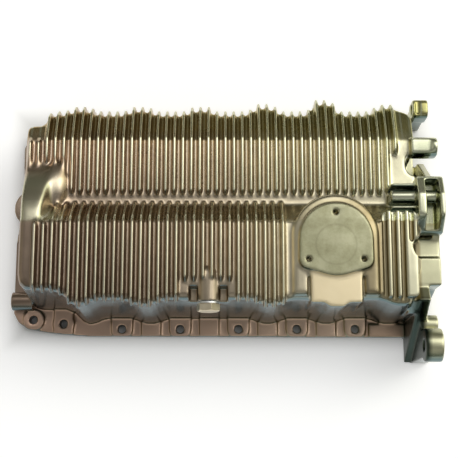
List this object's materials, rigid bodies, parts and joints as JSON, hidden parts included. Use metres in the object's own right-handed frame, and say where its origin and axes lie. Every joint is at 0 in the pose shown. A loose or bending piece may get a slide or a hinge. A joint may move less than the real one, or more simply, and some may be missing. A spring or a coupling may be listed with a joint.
{
  "type": "engine oil pan",
  "caption": "Deep-sump cast aluminium engine oil pan with cooling fins, a flanged gasket rim, a level sensor seat, gearbox lugs and a drain plug with washer",
  "frame": {"origin": "in the gasket plane, under the crankshaft's centre line, half-way along the pan", "axes": "+X points to the gearbox end, +Y across the engine away from the deep sump, +Z away from the gasket face through the sump floor; the pan rests bottom up on its gasket face"},
  "size_m": [0.4105, 0.2595, 0.122],
  "materials": {
    "casting": "as cast, satin",
    "plug_steel": "zinc plated, satin",
    "washer_metal": "soft annealed, matte"
  },
  "bodies": {
    "root": {"pan_casting": "casting", "drain_plug": "plug_steel", "drain_plug_washer": "washer_metal"}
  },
  "joints": []
}
